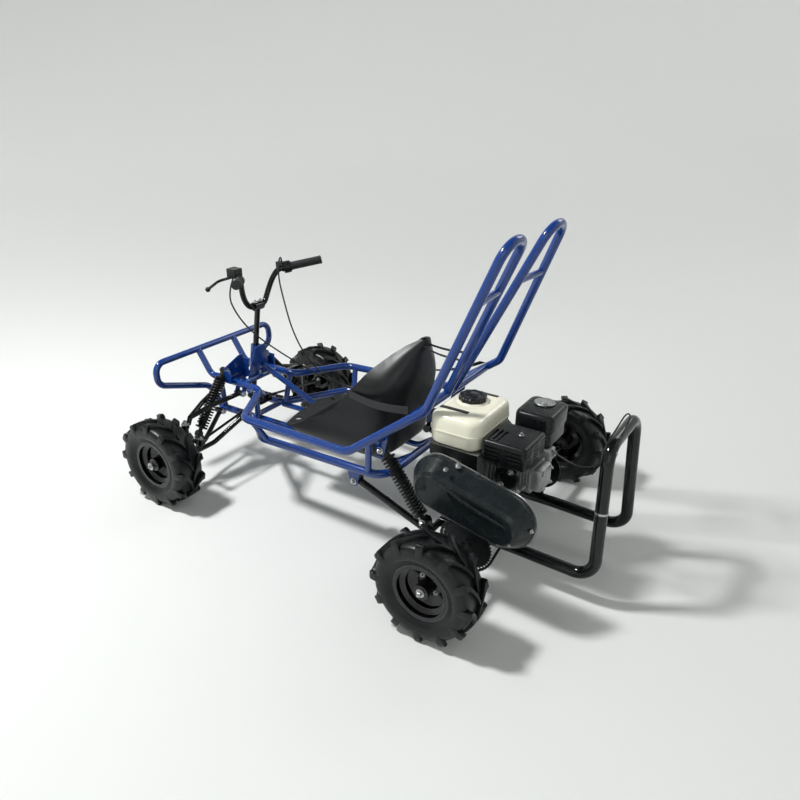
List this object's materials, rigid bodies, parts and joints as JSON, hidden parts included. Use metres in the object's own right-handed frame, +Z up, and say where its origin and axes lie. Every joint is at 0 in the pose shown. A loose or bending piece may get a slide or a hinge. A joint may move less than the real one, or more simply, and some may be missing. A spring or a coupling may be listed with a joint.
{
  "type": "dune buggy",
  "caption": "Single-seat off-road buggy with a bent-tube frame, handlebar steering, open single-cylinder engine and lugged tyres.",
  "frame": {"origin": "on the ground under the centre of the bounding box", "axes": "+X is the vehicle's left, -Y its front and +Z up"},
  "size_m": [1.1724, 1.7391, 1.08],
  "materials": {
    "belt_web": "woven",
    "black_paint": "gloss",
    "black_plastic": "satin",
    "cast_grey": "cast",
    "frame_paint": "gloss",
    "rim": "satin",
    "rubber": "matte",
    "seat_black": "satin",
    "spring_black": "satin",
    "tank_ivory": "gloss",
    "tyre": "matte",
    "zinc": "satin"
  },
  "bodies": {
    "chassis": {"frame_side_left": "frame_paint", "frame_side_right": "frame_paint", "roll_hoop_left": "frame_paint", "roll_hoop_right": "frame_paint", "frame_cross_bars": "frame_paint", "steering_head": "frame_paint", "shock_tower": "frame_paint", "front_bumper": "frame_paint", "rear_tabs_left": "frame_paint", "rear_tabs_right": "frame_paint", "front_arms_left": "black_paint", "front_arms_right": "black_paint", "swing_arm": "black_paint", "rear_guard": "black_paint", "front_shock_left": "spring_black", "front_shock_right": "spring_black", "rear_shock_left": "spring_black", "rear_shock_right": "spring_black", "brake_caliper": "cast_grey", "drive_chain": "zinc", "engine_block": "cast_grey", "cylinder_head": "cast_grey", "fuel_tank": "tank_ivory", "muffler": "black_paint", "air_cleaner": "black_plastic", "recoil_starter": "black_paint", "drive_backplate": "cast_grey", "belt_cover": "black_plastic", "seat": "seat_black", "seat_belts": "belt_web", "control_cables": "black_plastic"},
    "steering": {"steering_column": "black_paint", "handlebar": "black_paint", "grips": "rubber", "bar_controls": "black_plastic"},
    "knuckle_left": {"knuckle_left": "black_paint"},
    "knuckle_right": {"knuckle_right": "black_paint"},
    "tie_rod_left": {"tie_rod_left": "zinc"},
    "tie_rod_right": {"tie_rod_right": "zinc"},
    "front_wheel_left": {"front_left_tyre": "tyre", "front_left_rim": "rim"},
    "front_wheel_right": {"front_right_tyre": "tyre", "front_right_rim": "rim"},
    "rear_axle": {"rear_axle": "zinc", "axle_sprocket": "zinc", "brake_disc": "zinc", "rear_left_tyre": "tyre", "rear_left_rim": "rim", "rear_right_tyre": "tyre", "rear_right_rim": "rim"}
  },
  "joints": [
    {"name": "steering", "type": "hinge", "parent": "chassis", "child": "steering", "pos_m": [0, -0.604, 0.64], "axis": [0, 0.1582, 0.9874], "range_deg": [-33, 33], "deforming": ["control_cables"]},
    {"name": "knuckle_left", "type": "hinge", "parent": "chassis", "child": "knuckle_left", "pos_m": [0.345, -0.685, 0.165], "axis": [0, 0, 1], "range_deg": [-25, 25]},
    {"name": "knuckle_right", "type": "hinge", "parent": "chassis", "child": "knuckle_right", "pos_m": [-0.345, -0.685, 0.165], "axis": [0, 0, 1], "range_deg": [-25, 25]},
    {"name": "tie_rod_left", "type": "hinge", "parent": "knuckle_left", "child": "tie_rod_left", "pos_m": [0.345, -0.605, 0.2173], "axis": [0, 0, 1], "range_deg": [-28, 28]},
    {"name": "tie_rod_right", "type": "hinge", "parent": "knuckle_right", "child": "tie_rod_right", "pos_m": [-0.345, -0.605, 0.2173], "axis": [0, 0, 1], "range_deg": [-28, 28]},
    {"name": "front_wheel_left", "type": "hinge", "parent": "knuckle_left", "child": "front_wheel_left", "pos_m": [0.464, -0.685, 0.165], "axis": [1, 0, 0], "continuous": true},
    {"name": "front_wheel_right", "type": "hinge", "parent": "knuckle_right", "child": "front_wheel_right", "pos_m": [-0.464, -0.685, 0.165], "axis": [1, 0, 0], "continuous": true},
    {"name": "rear_axle", "type": "hinge", "parent": "chassis", "child": "rear_axle", "pos_m": [0, 0.495, 0.165], "axis": [1, 0, 0], "continuous": true}
  ],
  "couplings": [
    {"joint": "knuckle_left", "follows": "steering", "ratio": 0.75},
    {"joint": "knuckle_right", "follows": "steering", "ratio": 0.75},
    {"joint": "tie_rod_left", "follows": "steering", "ratio": -0.834},
    {"joint": "tie_rod_right", "follows": "steering", "ratio": -0.834}
  ]
}
